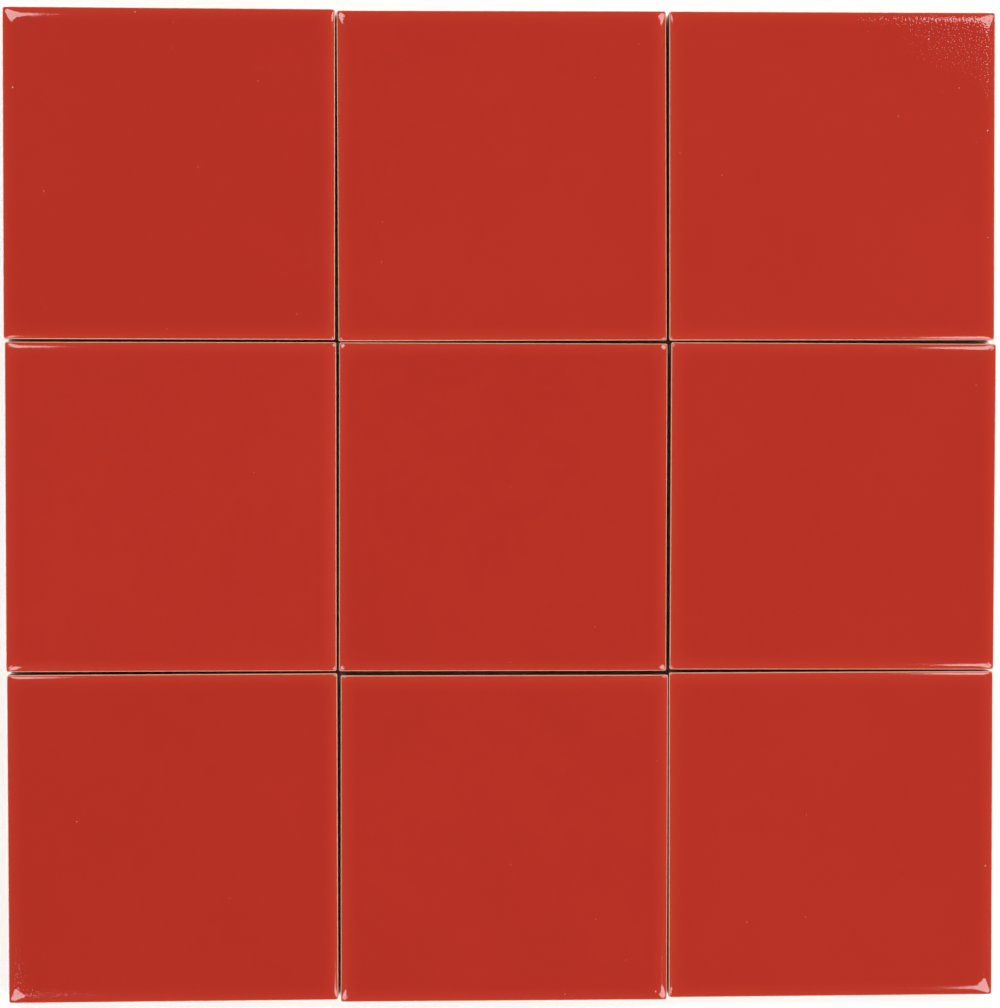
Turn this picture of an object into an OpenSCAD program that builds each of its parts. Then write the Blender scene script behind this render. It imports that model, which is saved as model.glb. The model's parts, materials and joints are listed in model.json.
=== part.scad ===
// Nine square glazed wall tiles, laid dry in three rows of three.
// Millimetres. +Z is up and each tile lies on its back at z = 0. +X runs right and +Y runs away,
// from the front row to the back row. The origin is the middle of the centre tile's back.

/* [Tile] */
// Side of a tile, across its glazed edges
tile_side = 108; // [75:1:200]
// Thickness of a tile, from the lands of its back to its glazed face
tile_t = 8; // [6.5:0.5:12]
// Radius of a tile's corners in plan
corner_r = 0.6; // [0.5:0.1:2.5]

/* [Lay] */
// Joint left open between two tiles
joint_w = 0.9; // [0.7:0.1:6]

/* [Cushioned edge] */
// Width of the band that rolls over at each edge of the face
cushion_w = 4.5; // [3:0.5:8]
// How far the face would drop across that band, if the arris were sharp
cushion_drop = 0.7; // [0.5:0.1:1.6]
// Radius of the arris, where the rolled band meets the side
arris_r = 0.8; // [0.6:0.1:1.2]

/* [Glaze] */
// Thickness of the glaze on the face
glaze_t = 0.5; // [0.3:0.05:0.8]
// Thickness of the glaze where it runs down the sides
glaze_side_t = 0.2; // [0.1:0.05:0.4]
// How far below the face the glaze ends on the sides
glaze_wrap = 3; // [2.5:0.5:4]
// Radius of the clay's own arris, which is sharper, so that the glaze thins over it
clay_arris_r = 0.4; // [0.2:0.1:0.5]

/* [Keyed back] */
// Width of the plain rim around the back
rim_w = 8; // [5:1:15]
// Width of the ribs between the key pockets
rib_w = 3; // [2:0.5:5]
// Depth of the key pockets
pocket_d = 0.8; // [0.5:0.1:1.2]
// Key pockets along each side, an even number, so that a rib crosses the middle
pocket_n = 8; // [4:2:12]
// Chamfer around the back's outer edge
back_chamfer = 0.6; // [0.3:0.1:1]

/* [Hidden] */
ROWS = ["front", "mid", "back"];
COLUMNS = ["left", "centre", "right"];

// How a hand lays each tile, as shares of the joint, from left to right along each row:
// how far it slips right, how far it slips away, and how far its right edge leads its left by turning.
slips = [
    [[0.3, 0.35, 0.15], [0.35, -0.5, -0.25], [-0.15, 0.2, 0.05]],
    [[0.05, 0.3, -0.1], [0, 0, -0.35], [0.3, 0.05, -0.5]],
    [[-0.2, 0.2, -0.25], [-0.3, -0.2, 0.4], [-0.25, 0.05, 0.2]]
];

pitch = tile_side + joint_w;
clay_side = tile_side - 2 * glaze_side_t;
pocket_pitch = (clay_side - 2 * rim_w + rib_w) / pocket_n;
pocket_side = pocket_pitch - rib_w;
$fn = 64;

// Flats along each arc of the cushioned edge
ARC_STEPS = 6;

glaze_red = [0.70, 0.13, 0.09];
fired_clay = [0.87, 0.74, 0.60];

// Puts its children where the tile of this row and column lies, at its turn.
module laid(row, column) {
    slip = slips[row][column];
    translate([
        (column - 1) * pitch + slip[0] * joint_w,
        (row - 1) * pitch + slip[1] * joint_w,
        0
    ])
        rotate(atan(slip[2] * joint_w / tile_side))
            children();
}

// Points along an arc, by its angle from straight up towards the right. skip leaves out the first
// points, where the arc before this one already ends on them.
function arc(centre, radius, from, to, skip = 0) = [
    for (step = [skip:ARC_STEPS])
        let (angle = from + (to - from) * step / ARC_STEPS)
            centre + radius * [sin(angle), cos(angle)]
];

// Section across a tile: square sides, chamfered below, and a face that rolls over at both edges.
// The rolled band is one arc, level where it leaves the face, and the arris is a second arc that
// meets the first and the side without a corner.
module cushion_section(side, top, arris) {
    half = side / 2;
    band_r = (pow(cushion_w, 2) + pow(cushion_drop, 2)) / (2 * cushion_drop);
    band_centre = [half - cushion_w, top - band_r];
    lean = asin((cushion_w - arris) / (band_r - arris));
    arris_centre = band_centre + (band_r - arris) * [sin(lean), cos(lean)];
    right_half = [
        [half - back_chamfer, 0],
        [half, back_chamfer],
        each arc(arris_centre, arris, 90, lean),
        each arc(band_centre, band_r, lean, 0, skip = 1)
    ];
    left_half = [for (i = [len(right_half) - 1:-1:0]) [-right_half[i].x, right_half[i].y]];
    polygon(concat(right_half, left_half));
}

// Plan of a tile: a square with rounded corners.
module rounded_square(side, radius) {
    square([side - 2 * radius, side], center = true);
    square([side, side - 2 * radius], center = true);
    for (x = [-1, 1], y = [-1, 1])
        translate([x, y] * (side / 2 - radius))
            circle(radius);
}

// A blank with its face rolled over at all four edges, so that the bands meet in mitres.
module cushioned_blank(side, top, arris, radius) {
    intersection() {
        rotate([90, 0, 0])
            linear_extrude(side, center = true)
                cushion_section(side, top, arris);
        rotate([90, 0, 90])
            linear_extrude(side, center = true)
                cushion_section(side, top, arris);
        linear_extrude(top)
            rounded_square(side, radius);
    }
}

module clay_blank() {
    cushioned_blank(clay_side, tile_t - glaze_t, clay_arris_r, corner_r - glaze_side_t);
}

// The square pockets that key the back into its bed, with ribs between them.
module key_pockets() {
    first = -(clay_side / 2 - rim_w);
    for (x = [0:pocket_n - 1], y = [0:pocket_n - 1])
        translate([first + x * pocket_pitch, first + y * pocket_pitch, -pocket_d])
            cube([pocket_side, pocket_side, 2 * pocket_d]);
}

// The pressed and fired clay body of one tile.
module clay_body(row, column) {
    color(fired_clay)
        laid(row, column)
            difference() {
                clay_blank();
                key_pockets();
            }
}

// The coat of glaze fused over the body's face and the upper part of its sides.
module glaze(row, column) {
    color(glaze_red)
        laid(row, column)
            difference() {
                intersection() {
                    cushioned_blank(tile_side, tile_t, arris_r, corner_r);
                    translate([-tile_side, -tile_side, tile_t - glaze_wrap])
                        cube([2 * tile_side, 2 * tile_side, 2 * glaze_wrap]);
                }
                clay_blank();
            }
}

for (row = [0:2], column = [0:2]) {
    name = str("_", ROWS[row], "_", COLUMNS[column]);
    clay_body(row, column);
    glaze(row, column);
}
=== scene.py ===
"""Nine glossy red wall tiles with cushioned edges, laid dry in three rows of three.

Each tile is a pressed and fired clay body with a coat of red glaze fused over its face and the
upper part of its sides. The tiles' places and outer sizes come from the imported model. Lengths are in
metres, +Z is up and the tiles lie on their keyed backs at z = 0.
"""

import json
import logging
import math
from collections.abc import Callable
from dataclasses import dataclass, field, replace
from enum import Enum

import bpy
from mathutils import Matrix, Vector

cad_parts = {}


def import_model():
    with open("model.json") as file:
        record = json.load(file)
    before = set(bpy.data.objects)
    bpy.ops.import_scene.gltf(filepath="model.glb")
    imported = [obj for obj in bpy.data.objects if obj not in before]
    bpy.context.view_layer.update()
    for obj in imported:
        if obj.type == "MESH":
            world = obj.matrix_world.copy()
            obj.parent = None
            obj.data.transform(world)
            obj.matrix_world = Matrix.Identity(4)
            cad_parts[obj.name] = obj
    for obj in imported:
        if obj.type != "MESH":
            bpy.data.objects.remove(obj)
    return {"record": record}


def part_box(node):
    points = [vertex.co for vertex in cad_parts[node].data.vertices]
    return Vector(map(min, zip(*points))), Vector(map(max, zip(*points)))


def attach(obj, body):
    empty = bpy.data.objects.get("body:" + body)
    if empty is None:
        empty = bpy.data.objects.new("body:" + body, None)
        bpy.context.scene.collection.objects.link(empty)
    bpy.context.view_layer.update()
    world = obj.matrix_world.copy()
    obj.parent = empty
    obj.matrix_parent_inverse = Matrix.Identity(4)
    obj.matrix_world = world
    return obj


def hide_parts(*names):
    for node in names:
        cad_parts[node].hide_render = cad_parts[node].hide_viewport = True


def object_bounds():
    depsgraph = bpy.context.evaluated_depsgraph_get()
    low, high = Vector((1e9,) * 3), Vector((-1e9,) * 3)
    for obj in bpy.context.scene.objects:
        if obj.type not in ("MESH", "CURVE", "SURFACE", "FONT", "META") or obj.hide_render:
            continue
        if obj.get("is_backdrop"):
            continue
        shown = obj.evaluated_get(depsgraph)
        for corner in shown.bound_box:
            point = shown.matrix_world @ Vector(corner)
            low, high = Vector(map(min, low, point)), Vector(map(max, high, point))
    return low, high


LOG = logging.getLogger("tiles")

MM = 0.001
MICRON = 0.000001
QUARTER = math.pi / 2
EIGHTH = math.pi / 4
GOLDEN = 0.618034
Colour = tuple[float, float, float]


class Slot(Enum):
    """The record's material slots."""

    CLAY = "fired_clay"
    GLAZE = "red_glaze"


class Mark(Enum):
    """Names of the values that the shapes leave on their points for the finishes to read."""

    # THIN also carries a painted lightening over the rolled band, besides the thin glaze over the
    # arris
    THIN = "thin_glaze"
    WALL = "down_the_side"
    TONE = "tone"
    PEEL = "orange_peel"


class Field:
    """One value flowing through a node tree. Sums on it add the nodes that work them out."""

    def __init__(self, sheet: "NodeSheet", socket: bpy.types.NodeSocket) -> None:
        """Keeps the socket that the value comes from.

        Args:
            sheet: The tree that the value flows through.
            socket: The output socket that gives it.
        """
        self.sheet = sheet
        self.socket = socket

    def __add__(self, other: "Operand") -> "Field":
        """Self plus other."""
        return self.sheet.math("ADD", self, other)

    def __radd__(self, other: float) -> "Field":
        """Other plus self."""
        return self.sheet.math("ADD", other, self)

    def __sub__(self, other: "Operand") -> "Field":
        """Self less other."""
        return self.sheet.math("SUBTRACT", self, other)

    def __rsub__(self, other: float) -> "Field":
        """Other less self."""
        return self.sheet.math("SUBTRACT", other, self)

    def __mul__(self, other: "Operand") -> "Field":
        """Self times other."""
        return self.sheet.math("MULTIPLY", self, other)

    def __rmul__(self, other: float) -> "Field":
        """Other times self."""
        return self.sheet.math("MULTIPLY", other, self)

    def __truediv__(self, other: "Operand") -> "Field":
        """Self over other."""
        return self.sheet.math("DIVIDE", self, other)

    def __rtruediv__(self, other: float) -> "Field":
        """Other over self."""
        return self.sheet.math("DIVIDE", other, self)

    def __pow__(self, power: float) -> "Field":
        """Self to a power."""
        return self.sheet.math("POWER", self, power)


Operand = Field | float


class NodeSheet:
    """A node tree being drawn up: it adds nodes, feeds their sockets and does sums with them."""

    def __init__(self, tree: bpy.types.NodeTree) -> None:
        """Starts on a tree.

        Args:
            tree: The tree that the nodes go into.
        """
        self.tree = tree

    def node(
        self, kind: str, settings: dict[str, object] | None = None, feeds: dict | None = None
    ) -> bpy.types.Node:
        """Adds a node.

        Args:
            kind: The node's type name.
            settings: Properties of the node to set.
            feeds: What goes into its inputs, by their names or numbers.

        Returns:
            The new node.
        """
        node = self.tree.nodes.new(kind)
        node.location = (200 * (len(self.tree.nodes) % 12), -220 * (len(self.tree.nodes) // 12))
        for name, value in (settings or {}).items():
            setattr(node, name, value)
        for key, value in (feeds or {}).items():
            self.feed(self.input(node, key), value)
        return node

    def input(self, node: bpy.types.Node, key: str | int) -> bpy.types.NodeSocket:
        """The input that is in use under a name, or the one at a number.

        Args:
            node: The node.
            key: The input's name or number.

        Returns:
            The socket.
        """
        if isinstance(key, int):
            return node.inputs[key]
        return next(socket for socket in node.inputs if socket.name == key and socket.enabled)

    def output(self, node: bpy.types.Node, key: str | int = 0) -> Field:
        """The output that is in use under a name, or the one at a number.

        Args:
            node: The node.
            key: The output's name or number.

        Returns:
            Its value.
        """
        if isinstance(key, int):
            return Field(self, node.outputs[key])
        found = next(socket for socket in node.outputs if socket.name == key and socket.enabled)
        return Field(self, found)

    def feed(self, socket: bpy.types.NodeSocket, value: object) -> None:
        """Links a flowing value to an input, or sets the input where the value is fixed.

        Args:
            socket: The input.
            value: A Field, or a fixed value of the socket's own type.
        """
        if isinstance(value, Field):
            self.tree.links.new(value.socket, socket)
        elif socket.type == "RGBA":
            socket.default_value = (*value, 1.0)
        else:
            socket.default_value = value

    def math(self, operation: str, *values: Operand) -> Field:
        """Adds a sum on one to three values.

        Args:
            operation: The Math node's operation.
            *values: What it works on.

        Returns:
            The answer.
        """
        feeds = dict(enumerate(values))
        return self.output(self.node("ShaderNodeMath", {"operation": operation}, feeds))

    def least(self, first: Operand, second: Operand) -> Field:
        """The smaller of two values."""
        return self.math("MINIMUM", first, second)

    def most(self, first: Operand, second: Operand) -> Field:
        """The larger of two values."""
        return self.math("MAXIMUM", first, second)

    def ramp(self, value: Operand, start: Operand, end: Operand, smooth: bool = False) -> Field:
        """How far a value has come from a start to an end, held between 0 and 1.

        Args:
            value: The value.
            start: Where the answer leaves 0.
            end: Where the answer reaches 1.
            smooth: Whether the answer eases in and out.

        Returns:
            The answer.
        """
        settings = {"interpolation_type": "SMOOTHSTEP" if smooth else "LINEAR", "clamp": True}
        feeds = {"Value": value, "From Min": start, "From Max": end}
        return self.output(self.node("ShaderNodeMapRange", settings, feeds))

    def parts(self, vector: Field) -> tuple[Field, Field, Field]:
        """The X, Y and Z of a vector.

        Args:
            vector: The vector.

        Returns:
            Its three parts.
        """
        node = self.node("ShaderNodeSeparateXYZ", feeds={0: vector})
        return self.output(node, 0), self.output(node, 1), self.output(node, 2)

    def vector(self, x: Operand, y: Operand, z: Operand) -> Field:
        """A vector from its three parts."""
        return self.output(self.node("ShaderNodeCombineXYZ", feeds={0: x, 1: y, 2: z}))

    def noise(
        self,
        at: Field,
        scale: float,
        detail: float = 2.0,
        roughness: float = 0.5,
        seed: Operand = 0.0,
    ) -> Field:
        """Smooth noise between 0 and 1.

        Args:
            at: Where it is read.
            scale: Lumps to the metre.
            detail: How many finer layers it has.
            roughness: How strong the finer layers are.
            seed: Which noise of all the noises it is.

        Returns:
            The noise.
        """
        place = self.elsewhere(at, seed)
        feeds = {"Vector": place, "Scale": scale, "Detail": detail, "Roughness": roughness}
        return self.output(self.node("ShaderNodeTexNoise", feeds=feeds))

    def elsewhere(self, at: Field, seed: Operand) -> Field:
        """Shifts a place by a seed, so that each seed reads another stretch of a pattern.

        Args:
            at: The place.
            seed: How far it is shifted, in metres.

        Returns:
            The shifted place.
        """
        feeds = {0: at, 1: self.vector(seed, seed, seed)}
        return self.output(self.node("ShaderNodeVectorMath", {"operation": "ADD"}, feeds))


class ShapeSheet(NodeSheet):
    """A Geometry Nodes tree with named inputs for its sizes."""

    def __init__(self, name: str) -> None:
        """Starts an empty tree with one geometry output.

        Args:
            name: What the tree is called.
        """
        super().__init__(bpy.data.node_groups.new(name, "GeometryNodeTree"))
        self.tree.interface.new_socket(
            name="Geometry", in_out="OUTPUT", socket_type="NodeSocketGeometry"
        )
        self.group_input = self.node("NodeGroupInput")
        self.group_output = self.node("NodeGroupOutput")

    def size(self, name: str) -> Field:
        """Adds a named number to the tree's inputs.

        Args:
            name: The input's name.

        Returns:
            Its value.
        """
        return self._named(name, "NodeSocketFloat")

    def material(self) -> Field:
        """Adds the material to the tree's inputs."""
        return self._named("Material", "NodeSocketMaterial")

    def _named(self, name: str, kind: str) -> Field:
        """Adds an input of any kind.

        Args:
            name: The input's name.
            kind: The socket's type name.

        Returns:
            Its value.
        """
        self.tree.interface.new_socket(name=name, in_out="INPUT", socket_type=kind)
        return self.output(self.group_input, name)

    def place(self, geometry: Field, position: Field) -> Field:
        """Moves a geometry's points.

        Args:
            geometry: The geometry.
            position: Where each point goes.

        Returns:
            The moved geometry.
        """
        feeds = {"Geometry": geometry, "Position": position}
        return self.output(self.node("GeometryNodeSetPosition", feeds=feeds))

    def mark(self, geometry: Field, mark: Mark, value: Operand) -> Field:
        """Leaves a value on each point for the finish to read.

        Args:
            geometry: The geometry.
            mark: The value's name.
            value: The value.

        Returns:
            The geometry with the value on it.
        """
        settings = {"data_type": "FLOAT", "domain": "POINT"}
        feeds = {"Geometry": geometry, "Name": mark.value, "Value": value}
        return self.output(self.node("GeometryNodeStoreNamedAttribute", settings, feeds))

    def weld(self, *geometries: Field) -> Field:
        """Joins geometries and welds the points that lie on each other.

        Args:
            *geometries: What is joined.

        Returns:
            One closed geometry.
        """
        joined = self.node("GeometryNodeJoinGeometry")
        for geometry in geometries:
            self.tree.links.new(geometry.socket, joined.inputs[0])
        feeds = {"Geometry": self.output(joined), "Distance": MICRON}
        return self.output(self.node("GeometryNodeMergeByDistance", feeds=feeds))

    def finish(self, geometry: Field, material: Field) -> None:
        """Ends the tree: real geometry, smoothly shaded, in its material.

        Args:
            geometry: The finished shape.
            material: Its material.
        """
        smooth = self.node("GeometryNodeSetShadeSmooth", feeds={"Geometry": geometry})
        real = self.node("GeometryNodeRealizeInstances", feeds={0: self.output(smooth)})
        feeds = {"Geometry": self.output(real), "Material": material}
        dressed = self.node("GeometryNodeSetMaterial", feeds=feeds)
        self.feed(self.group_output.inputs[0], self.output(dressed))

    def press(self, name: str, sizes: dict[str, object]) -> bpy.types.Object:
        """Runs the tree once and keeps what it makes as a plain mesh.

        Args:
            name: The new piece's name.
            sizes: A value for each of the tree's named inputs.

        Returns:
            The piece, at the origin, with no modifier left on it.
        """
        piece = bpy.data.objects.new(name, bpy.data.meshes.new(name))
        bpy.context.scene.collection.objects.link(piece)
        modifier = piece.modifiers.new("shape", "NODES")
        modifier.node_group = self.tree
        for item in self.tree.interface.items_tree:
            if item.in_out == "INPUT":
                modifier[item.identifier] = sizes[item.name]
        depsgraph = bpy.context.evaluated_depsgraph_get()
        mesh = bpy.data.meshes.new_from_object(
            piece.evaluated_get(depsgraph), preserve_all_data_layers=True, depsgraph=depsgraph
        )
        piece.modifiers.clear()
        piece.data = mesh
        mesh.name = name
        return piece


@dataclass(frozen=True)
class Place:
    """Where one tile lies and how big it is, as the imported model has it."""

    name: str
    clay_node: str
    glaze_node: str
    centre: Vector
    turn: float
    side: float
    clay_side: float
    top: float
    clay_top: float
    glaze_line: float

    @classmethod
    def read(cls, body: str, nodes: list[str]) -> "Place":
        """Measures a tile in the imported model.

        Args:
            body: The tile's body.
            nodes: The body's two nodes.

        Returns:
            The tile's place.
        """
        clay_node, glaze_node = sorted(nodes)
        low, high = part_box(glaze_node)
        clay_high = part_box(clay_node)[1]
        turn = cls._turn(glaze_node)
        return cls(
            name=body.removeprefix("tile_"),
            clay_node=clay_node,
            glaze_node=glaze_node,
            centre=Vector(((low.x + high.x) / 2, (low.y + high.y) / 2, 0.0)),
            turn=turn,
            side=cls._side(glaze_node, turn),
            clay_side=cls._side(clay_node, turn),
            top=high.z,
            clay_top=clay_high.z,
            glaze_line=low.z,
        )

    @staticmethod
    def _turn(node: str) -> float:
        """The angle that a tile is turned by, from its largest upright wall.

        Args:
            node: The tile's glaze node.

        Returns:
            The angle, anticlockwise, in radians.
        """
        upright = 0.01
        faces = bpy.data.objects[node].data.polygons
        wall = max((f for f in faces if abs(f.normal.z) < upright), key=lambda f: f.area)
        angle = math.atan2(wall.normal.y, wall.normal.x)
        return (angle + EIGHTH) % QUARTER - EIGHTH

    @staticmethod
    def _side(node: str, turn: float) -> float:
        """The width of a node across its own turned frame.

        Args:
            node: The node.
            turn: The angle that it is turned by.

        Returns:
            The width.
        """
        across = Vector((math.cos(turn), math.sin(turn), 0.0))
        reaches = [vertex.co.dot(across) for vertex in bpy.data.objects[node].data.vertices]
        return max(reaches) - min(reaches)

    def matrix(self) -> Matrix:
        """Carries a tile made about the origin to its place."""
        return Matrix.Translation(self.centre) @ Matrix.Rotation(self.turn, 4, "Z")


@dataclass(frozen=True)
class Rings:
    """How many rings of a square sheet go to each of its zones, from the middle outwards."""

    face: int
    band: int
    arris: int
    wall: int
    lip: int = 0

    def total(self) -> int:
        """All the rings."""
        return self.face + self.band + self.arris + self.wall + self.lip

    def edges(self) -> list[float]:
        """Where each zone ends, as shares of all the rings."""
        ends = []
        for count in (self.face, self.band, self.arris, self.wall, self.lip):
            ends.append((ends[-1] if ends else 0.0) + count / self.total())
        return ends


@dataclass(frozen=True)
class Cushion:
    """The section of a cushioned edge: a band that rolls over ever faster, then a rounded arris.

    Where two bands meet at a corner, their mitre is blended over a width that grows inwards.
    """

    width: float = 7.2 * MM
    slope: float = 0.5
    arris: float = 0.8 * MM
    mitre_tip: float = 2.0 * MM
    mitre_growth: float = 0.6

    def lean(self) -> float:
        """The band's tilt where the arris takes over, found by stepping until both agree."""
        lean = 0.0
        steps = 20
        for _ in range(steps):
            inset = self.arris * (1 - math.sin(lean))
            lean = math.atan(self.slope * (1 - inset / self.width) ** 3)
        return lean


class SquareSheet:
    """A square grid whose rings are carried onto a tile's face, cushioned edge and sides."""

    LARGEST_CORNER = 0.6

    def __init__(self, sheet: ShapeSheet, rings: Rings, straight: float) -> None:
        """Adds the grid and reads each point's ring and how far round the ring it is.

        Args:
            sheet: The tree.
            rings: The rings of each zone.
            straight: The share of the outermost ring's points that lie on its straight sides.
        """
        self.sheet = sheet
        self.rings = rings
        self.straight = straight
        count = 2 * rings.total() + 1
        feeds = {"Size X": 2.0, "Size Y": 2.0, "Vertices X": count, "Vertices Y": count}
        self.grid = sheet.output(sheet.node("GeometryNodeMeshGrid", feeds=feeds))
        self.x, self.y, _ = sheet.parts(sheet.output(sheet.node("GeometryNodeInputPosition")))
        self.across = sheet.math("ABSOLUTE", self.x)
        self.along = sheet.math("ABSOLUTE", self.y)
        self.ring = sheet.most(self.across, self.along)
        nearly_none = 1e-6
        least = sheet.least(self.across, self.along)
        self.round = least / sheet.most(self.ring, nearly_none)

    def zones(self) -> list[Operand]:
        """How far each point has come through each zone, from 0 to 1.

        Returns:
            One value for each zone, from the middle outwards: 0 where a zone has no rings.
        """
        starts = [0.0, *self.rings.edges()[:-1]]
        return [
            self.sheet.ramp(self.ring, start, end) if end > start else 0.0
            for start, end in zip(starts, self.rings.edges())
        ]

    def plan(self, half: Field, radius: Field) -> tuple[Field, Field]:
        """Carries each point to its ring, a square with rounded corners.

        Args:
            half: Half the ring's width.
            radius: The ring's corner radius.

        Returns:
            The point's X and Y.
        """
        sheet = self.sheet
        radius = sheet.least(radius, half * self.LARGEST_CORNER)
        side = half - radius
        share = sheet.least(side / (side + radius * EIGHTH), self.straight / self.ring)
        beside = side * sheet.least(self.round / share, 1.0)
        angle = sheet.most(self.round - share, 0.0) / (1.0 - share) * EIGHTH
        major = side + radius * sheet.math("COSINE", angle)
        minor = beside + radius * sheet.math("SINE", angle)
        wide = sheet.math("GREATER_THAN", self.across, self.along)
        x = sheet.math("SIGN", self.x) * (minor + (major - minor) * wide)
        y = sheet.math("SIGN", self.y) * (major + (minor - major) * wide)
        return x, y


@dataclass(frozen=True)
class LayerSizes:
    """The sizes that bend a square sheet over one layer of a tile, as they flow through a tree."""

    half: Field
    top: Field
    corner: Field
    width: Field
    slope: Field
    arris: Field
    lean: Field
    mitre_tip: Field
    mitre_growth: Field

    @classmethod
    def flow(cls, sheet: ShapeSheet, layer: str, half: Field) -> "LayerSizes":
        """Adds a layer's named inputs to a tree.

        Args:
            sheet: The tree.
            layer: The layer's name, which its inputs start with.
            half: Half the layer's width.

        Returns:
            The sizes that the inputs give.
        """
        names = ("Top", "Corner Radius", *cls.cushion_inputs(Cushion()))
        return cls(half, *(sheet.size(f"{layer} {name}") for name in names))

    @staticmethod
    def cushion_inputs(cushion: Cushion) -> dict[str, float]:
        """A cushioned edge's named inputs and their values."""
        return {
            "Cushion Width": cushion.width,
            "Cushion Slope": cushion.slope,
            "Arris Radius": cushion.arris,
            "Arris Lean": cushion.lean(),
            "Mitre Tip": cushion.mitre_tip,
            "Mitre Growth": cushion.mitre_growth,
        }

    @classmethod
    def values(cls, layer: str, top: float, corner: float, cushion: Cushion) -> dict[str, float]:
        """The values for a layer's named inputs.

        Args:
            layer: The layer's name.
            top: The height of its face.
            corner: The radius of its corners in plan.
            cushion: Its cushioned edge.

        Returns:
            A value for each input.
        """
        sizes = {"Top": top, "Corner Radius": corner, **cls.cushion_inputs(cushion)}
        return {f"{layer} {name}": value for name, value in sizes.items()}


@dataclass(frozen=True)
class Bent:
    """Where a sheet's points go, and how far each has come through the parts of the edge."""

    position: Field
    rolled: Field
    arris: Operand
    wall: Operand


@dataclass(frozen=True)
class SideEnd:
    """How a sheet ends on a tile's sides."""

    line: Callable[[Field], Operand]
    lip_in: Operand = 0.0
    lip_height: Operand = 0.0
    pinch: Operand = 0.0


@dataclass
class CushionedTile:
    """What the glaze coat and the clay body share: how a sheet bends over a tile's edges."""

    cushion: Cushion = field(default_factory=Cushion)
    clay_arris: float = 0.4 * MM
    corner_radius: float = 0.6 * MM
    corner_spread: float = 0.3
    wave_scale: float = 55.0

    def clay_layer(self, place: Place) -> dict[str, float]:
        """The values for the clay layer's named inputs.

        Args:
            place: The tile's place.

        Returns:
            A value for each input.
        """
        side_glaze = (place.side - place.clay_side) / 2
        corner = self.corner_radius - side_glaze
        cushion = replace(self.cushion, arris=self.clay_arris)
        return LayerSizes.values("Clay", place.clay_top, corner, cushion)

    def bend(
        self, square: SquareSheet, sizes: LayerSizes, end: SideEnd, wave: Operand = 0.0
    ) -> Bent:
        """Bends a flat sheet into a face, a cushioned edge and four sides.

        Args:
            square: The sheet.
            sizes: The layer's sizes.
            end: How the sheet ends on the sides.
            wave: How deep the face's slow waves are.

        Returns:
            The bent sheet.
        """
        sheet = square.sheet
        face, band, arris, wall, lip = square.zones()
        angle = sizes.lean + (QUARTER - sizes.lean) * arris
        arris_start = sizes.arris * (1.0 - sheet.math("SINE", sizes.lean))
        inset = sizes.half + (sizes.width - sizes.half) * face + (arris_start - sizes.width) * band
        rounded = sizes.arris * (1.0 - sheet.math("SINE", angle)) - arris_start
        drawn_in = end.pinch * sheet.math("SINE", wall * math.pi)
        turned_in = end.lip_in * (1.0 - sheet.math("COSINE", lip * QUARTER))
        out = inset + rounded + drawn_in
        radius = sizes.corner + sheet.least(out, sizes.width) * self.corner_spread - turned_in
        x, y = square.plan(sizes.half - out - turned_in, radius)
        at = sheet.vector(x, y, 0.0)
        rolled = self._rolled(sheet, sizes, x, y, arris_start)
        arris_drop = sheet.math("COSINE", sizes.lean) - sheet.math("COSINE", angle)
        drop = sizes.slope * sizes.width / 4.0 * rolled**4 + sizes.arris * arris_drop
        ripple = wave * sheet.noise(at, self.wave_scale, 1.0) * (1.0 - arris)
        upper = sizes.top - drop - ripple
        lower = end.line(at) + end.lip_height
        height = upper + (lower - upper) * wall - end.lip_height * sheet.math("SINE", lip * QUARTER)
        return Bent(sheet.vector(x, y, height), rolled, arris, wall)

    def _rolled(
        self, sheet: ShapeSheet, sizes: LayerSizes, x: Field, y: Field, start: Field
    ) -> Field:
        """How far a point has come across the rolled band, with the two bands' mitre blended.

        Args:
            sheet: The tree.
            sizes: The layer's sizes.
            x: The point's X.
            y: The point's Y.
            start: How far in from the edge the arris starts.

        Returns:
            0 on the flat of the face, and nearly 1 at the arris.
        """
        across = sheet.most(sizes.half - sheet.math("ABSOLUTE", x), start)
        along = sheet.most(sizes.half - sheet.math("ABSOLUTE", y), start)
        nearest = sheet.least(across, along)
        blend = sizes.mitre_tip + sizes.mitre_growth * nearest
        apart = sheet.math("ABSOLUTE", across - along)
        shared = sheet.most(blend - apart, 0.0) / blend
        inset = nearest - shared * shared * blend / 4.0
        return sheet.most(1.0 - inset / sizes.width, 0.0)


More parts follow.
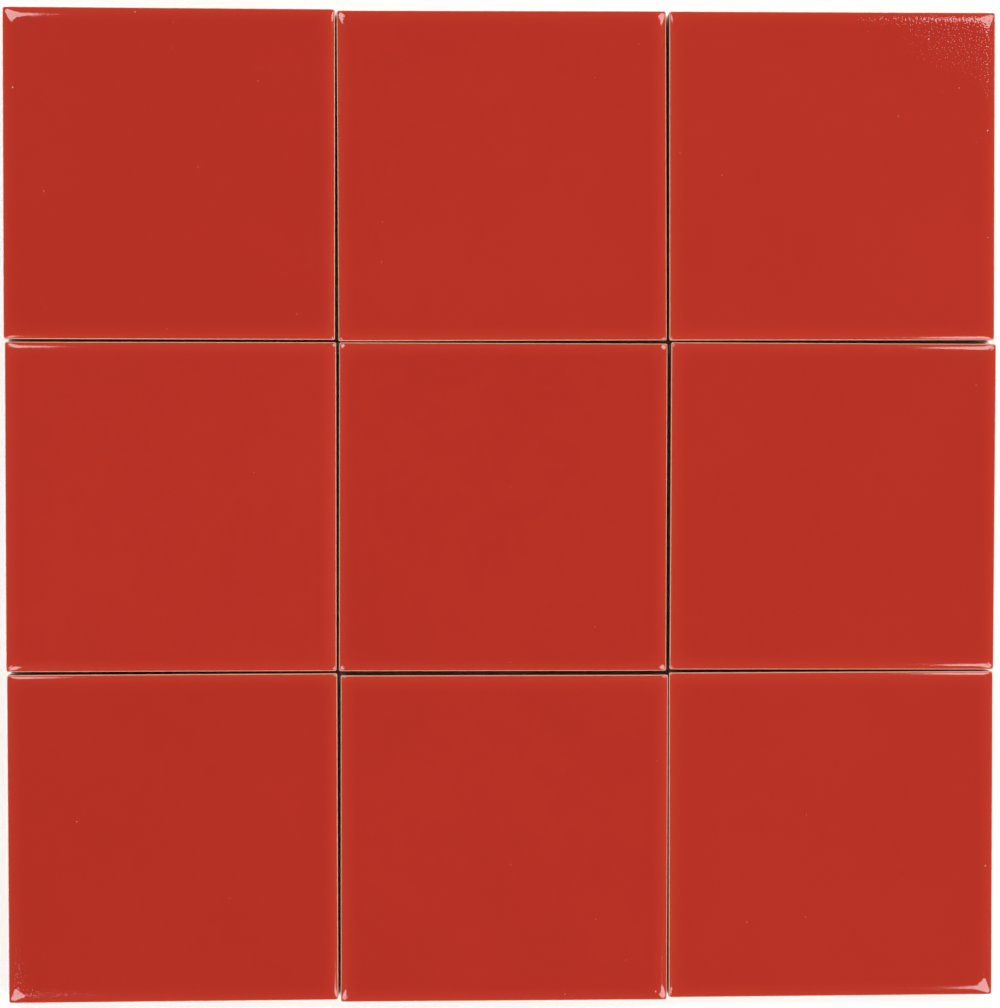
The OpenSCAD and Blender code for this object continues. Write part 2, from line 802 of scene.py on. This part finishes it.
@dataclass
class GlazeCoat(CushionedTile):
    """The coat of red glaze: thick on the face, thin over the arris, ending in a ragged line."""

    rings: Rings = Rings(face=46, band=18, arris=8, wall=5, lip=3)
    inner_rings: Rings = Rings(face=46, band=14, arris=6, wall=8)
    straight: float = 0.62
    lip_height: float = 0.35 * MM
    pinch: float = 0.05 * MM
    face_wave: float = 0.03 * MM
    line_wander: float = 1.1 * MM
    wander_scale: float = 70.0
    run_length: float = 2.4 * MM
    run_scale: float = 130.0
    pooling: float = 0.8
    band_thinning_and_painted_light: float = 0.34
    seed_step: float = 3.7
    smooth_peel: float = 0.15
    coarse_peel: tuple[tuple[str, float, float], ...] = (
        ("back_right", 1.0, 1.0),
        ("front_left", 0.4, -1.0),
    )
    peel_reach: float = 58.0 * MM
    sheet: ShapeSheet = field(init=False)

    def __post_init__(self) -> None:
        """Draws up the tree that makes a coat."""
        self.sheet = ShapeSheet("glaze_coat")
        self._draw(self.sheet)

    def _draw(self, sheet: ShapeSheet) -> None:
        """Adds the coat's nodes.

        Args:
            sheet: The empty tree.
        """
        half = sheet.size("Side") / 2.0
        clay_half = sheet.size("Clay Side") / 2.0
        line = self._line(sheet)
        end = SideEnd(line, half - clay_half, sheet.size("Lip Height"), sheet.size("Side Pinch"))
        outer = LayerSizes.flow(sheet, "Glaze", half)
        inner = LayerSizes.flow(sheet, "Clay", clay_half)
        skin = self._skin(sheet, outer, end)
        lining = self._lining(sheet, inner, SideEnd(line))
        coat = sheet.mark(sheet.weld(skin, lining), Mark.TONE, sheet.size("Tone"))
        coat = sheet.mark(coat, Mark.PEEL, self._peel(sheet, half))
        sheet.finish(coat, sheet.material())

    def _peel(self, sheet: ShapeSheet, half: Field) -> Field:
        """How coarse the orange peel is: even over the face, and coarser towards one corner.

        Args:
            sheet: The tree.
            half: Half of the tile's side.

        Returns:
            The peel's share of its full height.
        """
        at = sheet.output(sheet.node("GeometryNodeInputPosition"))
        corner = half * sheet.size("Peel Corner")
        across, away, _ = sheet.parts(at)
        distance = ((across - corner) ** 2.0 + (1.5 * (away - corner)) ** 2.0) ** 0.5
        reach = sheet.size("Peel Reach")
        patch = sheet.ramp(distance / reach, 1.0, 0.25, True)
        return sheet.size("Smooth Peel") + sheet.size("Coarse Peel") * patch

    def _line(self, sheet: ShapeSheet) -> Callable[[Field], Field]:
        """The glaze line, which wanders up and down the sides, with a run here and there.

        Args:
            sheet: The tree.

        Returns:
            A function that gives the line's height at a place.
        """
        line = sheet.size("Glaze Line")
        wander = sheet.size("Line Wander")
        run = sheet.size("Run Length")
        seed = sheet.size("Seed")

        def height(at: Field) -> Field:
            """The line's height at a place."""
            slow = sheet.noise(at, self.wander_scale, 3.0, 0.6, seed=seed) - 0.5
            lumps = sheet.noise(at, self.run_scale, 0.0, seed=seed + 7.0)
            drips = sheet.ramp(lumps, 0.68, 0.92, True)
            return line + wander * slow - run * drips

        return height

    def _skin(self, sheet: ShapeSheet, sizes: LayerSizes, end: SideEnd) -> Field:
        """The coat's glossy outside, down to the lip where it ends on the clay.

        Args:
            sheet: The tree.
            sizes: The sizes of the outside.
            end: How the glaze ends on the sides.

        Returns:
            The outside, with how thin it is and how far down the side on its points.
        """
        square = SquareSheet(sheet, self.rings, self.straight)
        bent = self.bend(square, sizes, end, sheet.size("Face Wave"))
        over_arris = sheet.ramp(bent.arris, 0.05, 0.4, True)
        pooled = self.pooling * sheet.ramp(bent.wall, 0.0, 0.35, True)
        # lighter on the rolled band: partly thinner glaze, partly painted light making up for the
        # light the tilted band misses
        band_thin_and_painted_light = self.band_thinning_and_painted_light * bent.rolled**3 * (1.0 - bent.wall)
        thin = sheet.most(over_arris * (1.0 - pooled), band_thin_and_painted_light)
        flat = sheet.mark(square.grid, Mark.THIN, thin)
        flat = sheet.mark(flat, Mark.WALL, bent.wall)
        return sheet.place(flat, bent.position)

    def _lining(self, sheet: ShapeSheet, sizes: LayerSizes, end: SideEnd) -> Field:
        """The coat's inside, where it is fused to the clay.

        Args:
            sheet: The tree.
            sizes: The sizes of the clay.
            end: How the glaze ends on the sides.

        Returns:
            The inside, facing the clay.
        """
        square = SquareSheet(sheet, self.inner_rings, self.straight)
        bent = self.bend(square, sizes, end)
        flat = sheet.mark(square.grid, Mark.THIN, 0.0)
        flat = sheet.mark(flat, Mark.WALL, 0.0)
        lining = sheet.place(flat, bent.position)
        return sheet.output(sheet.node("GeometryNodeFlipFaces", feeds={0: lining}))

    def build(self, place: Place, number: int, material: bpy.types.Material) -> bpy.types.Object:
        """Makes one tile's coat.

        Args:
            place: Where the tile lies.
            number: The tile's own number.
            material: The glaze.

        Returns:
            The coat, riding with its tile.
        """
        coarse = {name: (share, corner) for name, share, corner in self.coarse_peel}
        coarse_share, peel_corner = coarse.get(place.name, (0.0, 1.0))
        sizes = {
            **LayerSizes.values("Glaze", place.top, self.corner_radius, self.cushion),
            **self.clay_layer(place),
            "Side": place.side,
            "Clay Side": place.clay_side,
            "Glaze Line": place.glaze_line,
            "Line Wander": self.line_wander,
            "Run Length": self.run_length,
            "Seed": self.seed_step * number,
            "Lip Height": self.lip_height,
            "Side Pinch": self.pinch,
            "Face Wave": self.face_wave,
            "Tone": number * GOLDEN % 1.0,
            "Smooth Peel": self.smooth_peel,
            "Coarse Peel": coarse_share,
            "Peel Corner": peel_corner,
            "Peel Reach": self.peel_reach,
            "Material": material,
        }
        coat = self.sheet.press("coat_" + place.name, sizes)
        coat.data.transform(place.matrix())
        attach(coat, "tile_" + place.name)
        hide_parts(place.glaze_node)
        LOG.info("%s: %d faces", coat.name, len(coat.data.polygons))
        return coat


@dataclass
class ClayBody(CushionedTile):
    """The pressed and fired clay body, with key pockets in its back."""

    back_chamfer: float = 0.6 * MM
    seam_height: float = 3.6 * MM
    pocket_depth: float = 0.8 * MM
    pockets: int = 8
    pocket_cells: int = 6
    rib_cells: int = 2
    rim_cells: int = 5
    chamfer_rings: int = 2
    wall_rings: int = 4
    band_rings: int = 7
    arris_rings: int = 3
    side_rings: int = 2
    pocket_steps: tuple[tuple[float, float], ...] = ((0.12, 0.985), (0.76, 0.985), (0.12, 0.97))
    grain_scale: float = 240.0
    grain_height: float = 0.04 * MM
    sharp_angle: float = math.radians(35)
    seed_step: float = 5.3
    sheet: ShapeSheet = field(init=False)

    def __post_init__(self) -> None:
        """Draws up the tree that makes a body."""
        self.sheet = ShapeSheet("clay_body")
        self._draw(self.sheet)

    def back_cells(self) -> int:
        """Cells from the middle of the back to its chamfer."""
        pitch = self.pocket_cells + self.rib_cells
        return (self.pockets * pitch - self.rib_cells) // 2 + self.rim_cells

    def _draw(self, sheet: ShapeSheet) -> None:
        """Adds the body's nodes.

        Args:
            sheet: The empty tree.
        """
        sizes = LayerSizes.flow(sheet, "Clay", sheet.size("Clay Side") / 2.0)
        seam = sheet.size("Seam Height")
        seed = sheet.size("Seed")
        upper = self._upper(sheet, sizes, seam)
        lower = self._lower(sheet, sizes, seam, seed)
        sheet.finish(sheet.weld(upper, lower), sheet.material())

    def _rings_left(self) -> int:
        """Rings between the flat of the back and the seam."""
        return self.chamfer_rings + self.wall_rings

    def _upper(self, sheet: ShapeSheet, sizes: LayerSizes, seam: Field) -> Field:
        """The face and the upper sides, under the glaze.

        Args:
            sheet: The tree.
            sizes: The body's sizes.
            seam: The height where the lower part takes over.

        Returns:
            The upper part.
        """
        total = self.back_cells() + self._rings_left()
        edge = self.band_rings + self.arris_rings + self.side_rings
        rings = Rings(total - edge, self.band_rings, self.arris_rings, self.side_rings)
        square = SquareSheet(sheet, rings, self.back_cells() / total)
        bent = self.bend(square, sizes, SideEnd(lambda _: seam))
        return sheet.place(square.grid, bent.position)

    def _lower(self, sheet: ShapeSheet, sizes: LayerSizes, seam: Field, seed: Field) -> Field:
        """The keyed back, its chamfer and the lower sides.

        Args:
            sheet: The tree.
            sizes: The body's sizes.
            seam: The height where the upper part takes over.
            seed: The tile's own number.

        Returns:
            The lower part, facing outwards.
        """
        rings = Rings(self.back_cells(), self.chamfer_rings, self.wall_rings, 0)
        square = SquareSheet(sheet, rings, self.back_cells() / rings.total())
        flat, chamfer, wall = square.zones()[:3]
        cut = sheet.size("Back Chamfer")
        reach = (sizes.half - cut) * flat + cut * sheet.math("SINE", chamfer * QUARTER)
        x, y = square.plan(reach, sizes.corner * chamfer)
        rise = cut * (1.0 - sheet.math("COSINE", chamfer * QUARTER)) + (seam - cut) * wall
        grain = sheet.noise(sheet.vector(x, y, 0.0), self.grain_scale, 2.0, seed=seed)
        rise = rise + self.grain_height * grain * (1.0 - wall)
        back = sheet.place(square.grid, sheet.vector(x, y, rise))
        keyed = self._keyed(sheet, back, sizes.half - cut)
        return sheet.output(sheet.node("GeometryNodeFlipFaces", feeds={0: keyed}))

    def _keyed(self, sheet: ShapeSheet, back: Field, reach: Field) -> Field:
        """Sinks the square key pockets into the back, in three steps that round their walls.

        Args:
            sheet: The tree.
            back: The plain back.
            reach: Half the width of the back's flat part.

        Returns:
            The keyed back.
        """
        x, y, _ = sheet.parts(sheet.output(sheet.node("GeometryNodeInputPosition")))
        cell = reach / float(self.back_cells())
        inside = self._in_pocket(sheet, x, cell) * self._in_pocket(sheet, y, cell)
        depth = sheet.size("Pocket Depth")
        for share, shrink in self.pocket_steps:
            feeds = {
                "Mesh": back,
                "Selection": inside,
                "Offset": sheet.vector(0.0, 0.0, 1.0),
                "Offset Scale": depth * share,
                "Individual": False,
            }
            sunk = sheet.node("GeometryNodeExtrudeMesh", {"mode": "FACES"}, feeds)
            inside = sheet.output(sunk, "Top")
            feeds = {"Geometry": sheet.output(sunk), "Selection": inside, "Scale": shrink}
            shrunk = sheet.node("GeometryNodeScaleElements", {"domain": "FACE"}, feeds)
            back = sheet.output(shrunk)
        return back

    def _in_pocket(self, sheet: ShapeSheet, along: Field, cell: Field) -> Field:
        """Whether a face lies in a row of pockets, as 0 or 1.

        Args:
            sheet: The tree.
            along: The face's place along one axis.
            cell: The width of a cell of the back.

        Returns:
            1 in a pocket's row, and 0 on a rib or the rim.
        """
        pitch = self.pocket_cells + self.rib_cells
        reach = (self.pockets * pitch - self.rib_cells) / 2
        steps = along / cell + reach
        in_row = sheet.math("LESS_THAN", sheet.math("FLOORED_MODULO", steps, pitch), self.pocket_cells)
        on_land = sheet.math("LESS_THAN", sheet.math("ABSOLUTE", along / cell), reach)
        return in_row * on_land

    def build(self, place: Place, number: int, material: bpy.types.Material) -> bpy.types.Object:
        """Makes one tile's body.

        Args:
            place: Where the tile lies.
            number: The tile's own number.
            material: The fired clay.

        Returns:
            The body, riding with its tile.
        """
        sizes = {
            **self.clay_layer(place),
            "Clay Side": place.clay_side,
            "Seam Height": self.seam_height,
            "Seed": self.seed_step * number,
            "Back Chamfer": self.back_chamfer,
            "Pocket Depth": self.pocket_depth,
            "Material": material,
        }
        body = self.sheet.press("bisque_" + place.name, sizes)
        body.data.transform(place.matrix())
        body.data.set_sharp_from_angle(angle=self.sharp_angle)
        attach(body, "tile_" + place.name)
        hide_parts(place.clay_node)
        LOG.info("%s: %d faces", body.name, len(body.data.polygons))
        return body


@dataclass(frozen=True)
class Scatter:
    """Scattered round spots: each cell of a pattern holds one at most."""

    spacing: float
    radius: float
    share: float
    seed: float
    flat: bool = True


class FinishSheet(NodeSheet):
    """The node tree of a material, with its shader and its object coordinates ready."""

    def __init__(self, name: str) -> None:
        """Starts a material.

        Args:
            name: What the material is called.
        """
        self.material = bpy.data.materials.new(name)
        self.material.use_nodes = True
        super().__init__(self.material.node_tree)
        self.tree.nodes.clear()
        self.shader = self.node("ShaderNodeBsdfPrincipled")
        surface = self.node("ShaderNodeOutputMaterial")
        self.feed(surface.inputs["Surface"], self.output(self.shader))
        self.at = self.output(self.node("ShaderNodeTexCoord"), "Object")

    def marked(self, mark: Mark) -> Field:
        """Reads a value that the shape left on its points."""
        return self.output(self.node("ShaderNodeAttribute", {"attribute_name": mark.value}), "Fac")

    def mix(self, share: Operand, first: Field | Colour, second: Field | Colour) -> Field:
        """Mixes two colours.

        Args:
            share: How much of the second there is, from 0 to 1.
            first: The first colour.
            second: The second colour.

        Returns:
            The mixed colour.
        """
        settings = {"data_type": "RGBA", "clamp_factor": True}
        mixed = self.node("ShaderNodeMix", settings, {"Factor": share, "A": first, "B": second})
        return self.output(mixed, "Result")

    def spots(self, scatter: Scatter) -> Field:
        """Scattered round spots, on the level face or all through the body.

        Args:
            scatter: How far apart, how large and how many they are, and which scatter it is.

        Returns:
            1 in the middle of a spot, easing to 0 at its edge and outside it.
        """
        settings = {"voronoi_dimensions": "2D" if scatter.flat else "3D", "feature": "F1"}
        feeds = {"Vector": self.elsewhere(self.at, scatter.seed), "Scale": 1.0 / scatter.spacing}
        cells = self.node("ShaderNodeTexVoronoi", settings, feeds)
        away = self.output(cells, "Distance") * scatter.spacing
        chance = self.parts(self.output(cells, "Color"))[0]
        held = self.math("LESS_THAN", chance, scatter.share)
        return (1.0 - self.ramp(away, 0.0, scatter.radius, True)) * held

    def relief(self, height: Field) -> None:
        """Raises the surface by a height in metres.

        Args:
            height: The height.
        """
        bump = self.node("ShaderNodeBump", feeds={"Strength": 1.0, "Distance": 1.0, "Height": height})
        self.feed(self.shader.inputs["Normal"], self.output(bump))


@dataclass(frozen=True)
class RedGlaze:
    """A deep red gloss glaze that breaks pale over the arris, with a fine orange peel."""

    deep: Colour = (0.288, 0.0182, 0.0108)
    bright: Colour = (0.306, 0.0204, 0.0122)
    # rolled: a lighter red for the band, partly thin glaze, partly painted light
    rolled: Colour = (0.40, 0.038, 0.019)
    broken: Colour = (0.64, 0.36, 0.25)
    # pooled: a darker red for the glaze down the sides, partly thick pooled glaze, partly painted
    # shade for the joints between tiles
    pooled: Colour = (0.17, 0.0080, 0.0050)
    fleck: Colour = (0.42, 0.11, 0.075)
    pit: Colour = (0.15, 0.008, 0.006)
    gloss: float = 0.03
    smear_scale: float = 38.0
    cloud_scale: float = 16.0
    flutter_scale: float = 900.0
    flecks: Scatter = Scatter(14 * MM, 0.3 * MM, 0.035, 2.0)
    fleck_height: float = 25 * MICRON
    pits: Scatter = Scatter(12 * MM, 0.26 * MM, 0.04, 9.0)
    pit_depth: float = 30 * MICRON
    peel_scale: float = 1050.0
    peel_height: float = 38.0 * MICRON
    grains: Scatter = Scatter(1.15 * MM, 0.32 * MM, 0.9, 23.0)
    grain_height: float = 24.0 * MICRON
    ripple_scale: float = 110.0
    ripple_height: float = 14.0 * MICRON
    pimples: Scatter = Scatter(10 * MM, 0.6 * MM, 0.05, 17.0)
    pimple_height: float = 60.0 * MICRON

    def material(self) -> bpy.types.Material:
        """Draws up the glaze.

        Returns:
            The material.
        """
        sheet = FinishSheet("red_glaze")
        flecks = sheet.spots(self.flecks)
        pits = sheet.spots(self.pits)
        self._colour(sheet, flecks, pits)
        smear = sheet.noise(sheet.at, self.smear_scale, 2.0, 0.6, seed=4.0)
        starved = sheet.ramp(sheet.marked(Mark.WALL), 0.05, 0.5)
        sheet.feed(sheet.shader.inputs["Roughness"], self.gloss + 0.02 * smear + 0.35 * starved)
        sheet.feed(sheet.shader.inputs["Specular IOR Level"], 0.5 - 0.45 * starved)
        sheet.feed(sheet.shader.inputs["IOR"], 1.5)
        self._relief(sheet, flecks, pits)
        return sheet.material

    def _colour(self, sheet: FinishSheet, flecks: Field, pits: Field) -> None:
        """Gives the glaze its colour.

        Args:
            sheet: The material's tree.
            flecks: Where pale flecks lie.
            pits: Where pinholes lie.
        """
        clouds = sheet.noise(sheet.at, self.cloud_scale, 3.0, 0.55, seed=1.0)
        tone = sheet.marked(Mark.TONE)
        share = sheet.ramp(clouds * 0.6 + tone * 0.4, 0.25, 0.75)
        colour = sheet.mix(share, self.deep, self.bright)
        colour = sheet.mix(flecks, colour, self.fleck)
        colour = sheet.mix(pits * 0.8, colour, self.pit)
        flutter = sheet.noise(sheet.at, self.flutter_scale, 2.0, seed=3.0) - 0.5
        thin = sheet.marked(Mark.THIN)
        thin = thin + flutter * 0.5 * thin
        # the band turns lighter red: partly thin glaze, partly painted light making up for the light
        # the tilted band misses
        colour = sheet.mix(sheet.ramp(thin, 0.0, 0.5), colour, self.rolled)
        colour = sheet.mix(sheet.ramp(thin, 0.5, 1.0), colour, self.broken)
        # darker down the sides: partly thick pooled glaze, partly painted shade standing in for the
        # shade in the joints
        colour = sheet.mix(0.7 * sheet.ramp(sheet.marked(Mark.WALL), 0.1, 0.6), colour, self.pooled)
        sheet.feed(sheet.shader.inputs["Base Color"], colour)

    def _relief(self, sheet: FinishSheet, flecks: Field, pits: Field) -> None:
        """Gives the glaze its peel and grain, its slow ripple, its pimples and its pinholes.

        Args:
            sheet: The material's tree.
            flecks: Where pale flecks lie.
            pits: Where pinholes lie.
        """
        peel = sheet.noise(sheet.at, self.peel_scale, 1.0, seed=5.0) * self.peel_height
        grains = sheet.spots(self.grains) * self.grain_height
        ripple = sheet.noise(sheet.at, self.ripple_scale, 1.0, seed=6.0)
        pimples = sheet.spots(self.pimples)
        height = (peel + grains) * sheet.marked(Mark.PEEL) + ripple * self.ripple_height
        height = height + pimples * self.pimple_height
        sheet.relief(height - pits * self.pit_depth + flecks * self.fleck_height)


@dataclass(frozen=True)
class FiredClay:
    """Buff biscuit-fired clay: dry, grainy, with painted shade darkening its sides up to the glaze
    line, dusty on its lands.
    """

    pale: Colour = (0.60, 0.43, 0.29)
    warm: Colour = (0.47, 0.29, 0.175)
    # painted shade: a dark red-brown laid on the clay sides so that the joints between tiles look dark
    painted_side_shade: Colour = (0.11, 0.024, 0.013)
    dust: Colour = (0.66, 0.58, 0.49)
    iron: Colour = (0.12, 0.055, 0.035)
    cloud_scale: float = 60.0
    cloud_height: float = 120 * MICRON
    grain_scale: float = 1400.0
    grain_height: float = 40 * MICRON
    painted_shade_from: float = 1.2 * MM
    painted_shade_by: float = 4.4 * MM
    painted_shade_wander: float = 1.6 * MM
    land_height: float = 0.3 * MM
    specks: Scatter = Scatter(1.9 * MM, 0.22 * MM, 0.5, 15.0, flat=False)
    pores: Scatter = Scatter(1.4 * MM, 0.3 * MM, 0.5, 16.0, flat=False)
    pore_depth: float = 90 * MICRON

    def material(self) -> bpy.types.Material:
        """Draws up the clay.

        Returns:
            The material.
        """
        sheet = FinishSheet("fired_clay")
        height = sheet.parts(sheet.at)[2]
        clouds = sheet.noise(sheet.at, self.cloud_scale, 3.0, 0.6, seed=11.0)
        grain = sheet.noise(sheet.at, self.grain_scale, 3.0, 0.7, seed=12.0)
        colour = sheet.mix(sheet.ramp(clouds * 0.7 + grain * 0.3, 0.3, 0.7), self.warm, self.pale)
        # painted shade: the sides darken from 1.2 mm up towards the glaze line, standing in for the
        # shade in the joints
        wander = (sheet.noise(sheet.at, 120.0, 3.0, seed=13.0) - 0.5) * self.painted_shade_wander
        painted_shade_share = sheet.ramp(height + wander, self.painted_shade_from, self.painted_shade_by, True)
        colour = sheet.mix(painted_shade_share * 0.85, colour, self.painted_side_shade)
        landed = 1.0 - sheet.ramp(height, 0.05 * MM, self.land_height)
        dusty = landed * sheet.ramp(sheet.noise(sheet.at, 220.0, 4.0, 0.7, seed=14.0), 0.35, 0.65)
        colour = sheet.mix(dusty * 0.7, colour, self.dust)
        specks = sheet.spots(self.specks)
        colour = sheet.mix(specks * 0.85, colour, self.iron)
        sheet.feed(sheet.shader.inputs["Base Color"], colour)
        sheet.feed(sheet.shader.inputs["Roughness"], 0.82 + 0.14 * grain)
        sheet.feed(sheet.shader.inputs["Specular IOR Level"], 0.15)
        pores = sheet.spots(self.pores)
        relief = grain * self.grain_height + clouds * self.cloud_height
        sheet.relief(relief - pores * self.pore_depth)
        return sheet.material


@dataclass(frozen=True)
class PaleSweep:
    """The matt white paper sweep that the tiles lie on, with a painted glow of emitted light far away
    from them.
    """

    white: Colour = (0.94, 0.94, 0.935)
    shade: Colour = (0.92, 0.92, 0.918)
    cloud_scale: float = 6.0
    fibre_scale: float = 900.0
    reach: float = 8.0
    # painted light: where the paper starts and ends glowing, and how strongly
    glow_from: float = 0.45
    glow_by: float = 1.2
    painted_glow: float = 0.85

    def material(self) -> bpy.types.Material:
        """Draws up the paper.

        Returns:
            The material.
        """
        sheet = FinishSheet("paper_sweep")
        clouds = sheet.noise(sheet.at, self.cloud_scale, 3.0, seed=21.0)
        fibre = sheet.noise(sheet.at, self.fibre_scale, 2.0, seed=22.0)
        sheet.feed(sheet.shader.inputs["Base Color"], sheet.mix(clouds, self.shade, self.white))
        sheet.feed(sheet.shader.inputs["Roughness"], 0.85 + 0.1 * fibre)
        sheet.feed(sheet.shader.inputs["Specular IOR Level"], 0.2)
        across, away, _ = sheet.parts(sheet.at)
        distance = (across**2.0 + away**2.0) ** 0.5
        # painted light: the paper itself emits white light from 0.45 m outwards, though it is no lamp
        painted_glow_strength = self.painted_glow * sheet.ramp(distance, self.glow_from, self.glow_by, True)
        sheet.feed(sheet.shader.inputs["Emission Color"], self.white)
        sheet.feed(sheet.shader.inputs["Emission Strength"], painted_glow_strength)
        return sheet.material

    def build(self) -> bpy.types.Object:
        """Lays the sweep just under the tiles.

        Returns:
            The sweep, marked as the stage.
        """
        reach = self.reach
        signs = ((-1, -1), (1, -1), (1, 1), (-1, 1))
        corners = [(x * reach, y * reach, 0.0) for x, y in signs]
        mesh = bpy.data.meshes.new("sweep")
        mesh.from_pydata(corners, [], [(0, 1, 2, 3)])
        mesh.materials.append(self.material())
        sweep = bpy.data.objects.new("sweep", mesh)
        bpy.context.scene.collection.objects.link(sweep)
        sweep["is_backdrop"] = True
        return sweep


@dataclass(frozen=True)
class Softbox:
    """A round soft light that faces the middle of the tiles."""

    x: float
    y: float
    radius: float
    radiance: float = 8.0
    height: float = 0.9
    mirrored: bool = True

    def build(self, name: str) -> bpy.types.Object:
        """Hangs the light.

        Args:
            name: What the light is called.

        Returns:
            The light.
        """
        light = bpy.data.lights.new(name, "AREA")
        light.shape = "DISK"
        light.size = 2 * self.radius
        area = math.pi * self.radius**2
        light.energy = self.radiance * math.pi * area
        lamp = bpy.data.objects.new(name, light)
        lamp.location = (self.x, self.y, self.height)
        lamp.rotation_euler = (-lamp.location).to_track_quat("-Z", "Y").to_euler()
        lamp.visible_camera = False
        lamp.visible_glossy = self.mirrored
        bpy.context.scene.collection.objects.link(lamp)
        return lamp


@dataclass(frozen=True)
class Studio:
    """Four soft lights around the camera, each with a wider fill that gloss doesn't mirror."""

    softboxes: tuple[Softbox, ...] = (
        Softbox(0.60, 0.58, radius=0.26),
        Softbox(-0.45, 0.53, radius=0.19),
        Softbox(-0.51, -0.60, radius=0.21),
        Softbox(0.60, -0.62, radius=0.25),
    )
    fill_radius: float = 0.35
    fill_radiance: float = 3.5
    ceiling: float = 0.03
    walls: float = 0.85
    walls_end: float = 0.6
    walls_fade: float = 0.12

    def build(self) -> None:
        """Hangs the lights and paints the room."""
        for number, softbox in enumerate(self.softboxes, start=1):
            softbox.build(f"softbox_{number}")
            fill = replace(
                softbox, radius=self.fill_radius, radiance=self.fill_radiance, mirrored=False
            )
            fill.build(f"fill_{number}")
        world = bpy.data.worlds.new("room")
        world.use_nodes = True
        sheet = NodeSheet(world.node_tree)
        sheet.tree.nodes.clear()
        height = sheet.parts(sheet.output(sheet.node("ShaderNodeTexCoord"), "Generated"))[2]
        share = sheet.ramp(height, self.walls_end, self.walls_fade, True)
        strength = self.ceiling + (self.walls - self.ceiling) * share
        room = sheet.node("ShaderNodeBackground", feeds={"Strength": strength})
        surface = sheet.node("ShaderNodeOutputWorld")
        sheet.feed(surface.inputs["Surface"], sheet.output(room))
        bpy.context.scene.world = world
        bpy.context.scene.view_settings.view_transform = "Standard"
        LOG.info("studio: %d lights", len(self.softboxes))


@dataclass(frozen=True)
class Viewpoint:
    """A camera above the tiles, very nearly square to them."""

    distance: float = 0.9
    pitch: float = math.radians(1.58)
    yaw: float = math.radians(2.42)
    roll: float = math.radians(0.10)
    shift_right: float = 1.15 * MM
    shift_away: float = -1.11 * MM
    lens: float = 97.8
    film: float = 36.0

    def build(self, face_height: float) -> bpy.types.Object:
        """Sets up the camera.

        Args:
            face_height: The height of the tiles' faces.

        Returns:
            The scene's camera.
        """
        lean = (
            Matrix.Rotation(self.roll, 3, "Z")
            @ Matrix.Rotation(self.yaw, 3, "Y")
            @ Matrix.Rotation(self.pitch, 3, "X")
        ).transposed()
        target = Vector((-self.shift_right, -self.shift_away, face_height))
        camera = bpy.data.cameras.new("camera")
        camera.lens = self.lens
        camera.sensor_width = self.film
        camera.clip_start = 0.01
        viewer = bpy.data.objects.new("camera", camera)
        place = target + lean @ Vector((0.0, 0.0, self.distance))
        viewer.matrix_world = Matrix.Translation(place) @ lean.to_4x4()
        bpy.context.scene.collection.objects.link(viewer)
        bpy.context.scene.camera = viewer
        return viewer


def main() -> None:
    """Builds the nine tiles, the sweep, the lights and the camera."""
    logging.basicConfig(level=logging.INFO, format="%(message)s")
    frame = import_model()
    cad_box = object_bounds()
    clay = FiredClay().material()
    glaze = RedGlaze().material()
    coat = GlazeCoat()
    body = ClayBody()
    bodies = frame["record"]["behaviour"]["bodies"]
    for number, (name, nodes) in enumerate(sorted(bodies.items()), start=1):
        place = Place.read(name, nodes)
        body.build(place, number, clay)
        coat.build(place, number, glaze)
    PaleSweep().build()
    Studio().build()
    Viewpoint().build(cad_box[1].z)


if __name__ == "__main__":
    main()
